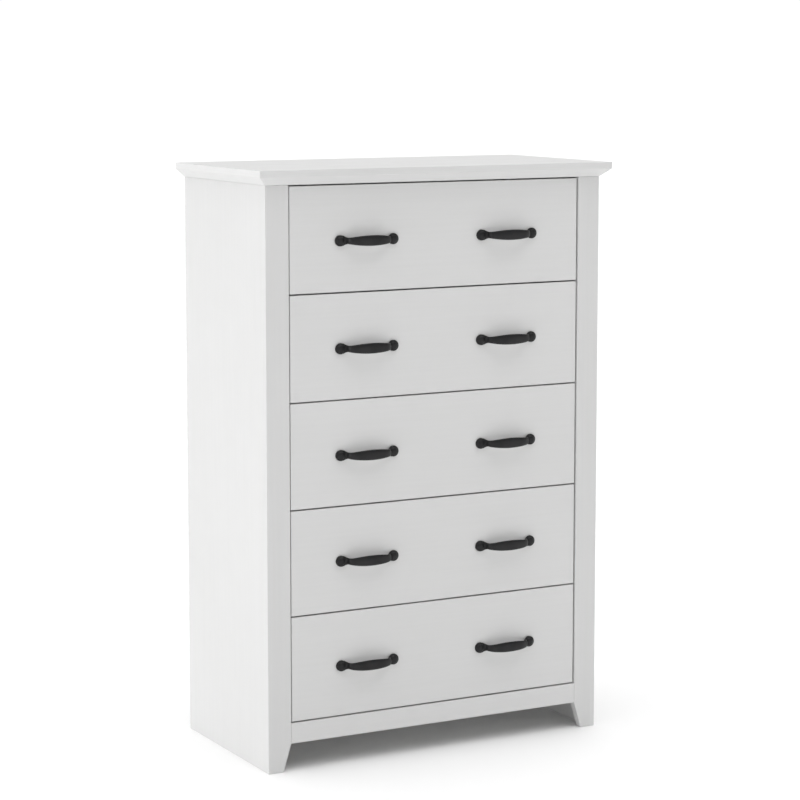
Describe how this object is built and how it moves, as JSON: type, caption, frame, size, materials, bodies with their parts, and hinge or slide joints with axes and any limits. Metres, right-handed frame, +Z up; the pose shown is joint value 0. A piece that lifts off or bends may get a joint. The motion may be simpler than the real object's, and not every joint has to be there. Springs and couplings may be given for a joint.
{
  "type": "tall chest of drawers",
  "caption": "Tall white chest of drawers with a sloping crown moulding, tapered front feet and black bow handles on telescopic slides.",
  "frame": {"origin": "on the floor, in the middle of the bounding box, with the handles counted in", "axes": "+Z up, +X to the right of a person facing the drawers, -Y out of the front"},
  "size_m": [0.801, 0.4116, 1.193],
  "materials": {
    "white_paint": "white painted board, satin",
    "white_board": "white laminated board, matt",
    "black_iron": "matt black powder coat",
    "zinc_steel": "bright zinc plate"
  },
  "bodies": {
    "case": {"top_board": "white_paint", "crown_front": "white_paint", "crown_sides": "white_paint", "crown_rear": "white_paint", "side_panel_left": "white_paint", "side_panel_right": "white_paint", "stile_left": "white_paint", "stile_right": "white_paint", "apron": "white_paint", "base_board": "white_board", "back_panel": "white_board", "cross_rails": "white_board", "slide_battens": "white_board", "case_rails": "zinc_steel", "case_screws": "zinc_steel"},
    "drawer_1": {"drawer_1_front": "white_paint", "drawer_1_sides": "white_board", "drawer_1_back": "white_board", "drawer_1_bottom": "white_board", "drawer_1_handle_left": "black_iron", "drawer_1_handle_right": "black_iron", "drawer_1_slide_rails": "zinc_steel", "drawer_1_screws": "zinc_steel"},
    "drawer_1_middle": {"drawer_1_middle_rails": "zinc_steel"},
    "drawer_2": {"drawer_2_front": "white_paint", "drawer_2_sides": "white_board", "drawer_2_back": "white_board", "drawer_2_bottom": "white_board", "drawer_2_handle_left": "black_iron", "drawer_2_handle_right": "black_iron", "drawer_2_slide_rails": "zinc_steel", "drawer_2_screws": "zinc_steel"},
    "drawer_2_middle": {"drawer_2_middle_rails": "zinc_steel"},
    "drawer_3": {"drawer_3_front": "white_paint", "drawer_3_sides": "white_board", "drawer_3_back": "white_board", "drawer_3_bottom": "white_board", "drawer_3_handle_left": "black_iron", "drawer_3_handle_right": "black_iron", "drawer_3_slide_rails": "zinc_steel", "drawer_3_screws": "zinc_steel"},
    "drawer_3_middle": {"drawer_3_middle_rails": "zinc_steel"},
    "drawer_4": {"drawer_4_front": "white_paint", "drawer_4_sides": "white_board", "drawer_4_back": "white_board", "drawer_4_bottom": "white_board", "drawer_4_handle_left": "black_iron", "drawer_4_handle_right": "black_iron", "drawer_4_slide_rails": "zinc_steel", "drawer_4_screws": "zinc_steel"},
    "drawer_4_middle": {"drawer_4_middle_rails": "zinc_steel"},
    "drawer_5": {"drawer_5_front": "white_paint", "drawer_5_sides": "white_board", "drawer_5_back": "white_board", "drawer_5_bottom": "white_board", "drawer_5_handle_left": "black_iron", "drawer_5_handle_right": "black_iron", "drawer_5_slide_rails": "zinc_steel", "drawer_5_screws": "zinc_steel"},
    "drawer_5_middle": {"drawer_5_middle_rails": "zinc_steel"}
  },
  "joints": [
    {"name": "drawer_1_slide", "type": "slide", "parent": "case", "child": "drawer_1", "axis": [0, -1, 0], "range_m": [0, 0.3]},
    {"name": "drawer_1_middle_slide", "type": "slide", "parent": "case", "child": "drawer_1_middle", "axis": [0, -1, 0], "range_m": [0, 0.15]},
    {"name": "drawer_2_slide", "type": "slide", "parent": "case", "child": "drawer_2", "axis": [0, -1, 0], "range_m": [0, 0.3]},
    {"name": "drawer_2_middle_slide", "type": "slide", "parent": "case", "child": "drawer_2_middle", "axis": [0, -1, 0], "range_m": [0, 0.15]},
    {"name": "drawer_3_slide", "type": "slide", "parent": "case", "child": "drawer_3", "axis": [0, -1, 0], "range_m": [0, 0.3]},
    {"name": "drawer_3_middle_slide", "type": "slide", "parent": "case", "child": "drawer_3_middle", "axis": [0, -1, 0], "range_m": [0, 0.15]},
    {"name": "drawer_4_slide", "type": "slide", "parent": "case", "child": "drawer_4", "axis": [0, -1, 0], "range_m": [0, 0.3]},
    {"name": "drawer_4_middle_slide", "type": "slide", "parent": "case", "child": "drawer_4_middle", "axis": [0, -1, 0], "range_m": [0, 0.15]},
    {"name": "drawer_5_slide", "type": "slide", "parent": "case", "child": "drawer_5", "axis": [0, -1, 0], "range_m": [0, 0.3]},
    {"name": "drawer_5_middle_slide", "type": "slide", "parent": "case", "child": "drawer_5_middle", "axis": [0, -1, 0], "range_m": [0, 0.15]}
  ],
  "couplings": [
    {"joint": "drawer_1_middle_slide", "follows": "drawer_1_slide", "ratio": 0.5},
    {"joint": "drawer_2_middle_slide", "follows": "drawer_2_slide", "ratio": 0.5},
    {"joint": "drawer_3_middle_slide", "follows": "drawer_3_slide", "ratio": 0.5},
    {"joint": "drawer_4_middle_slide", "follows": "drawer_4_slide", "ratio": 0.5},
    {"joint": "drawer_5_middle_slide", "follows": "drawer_5_slide", "ratio": 0.5}
  ]
}
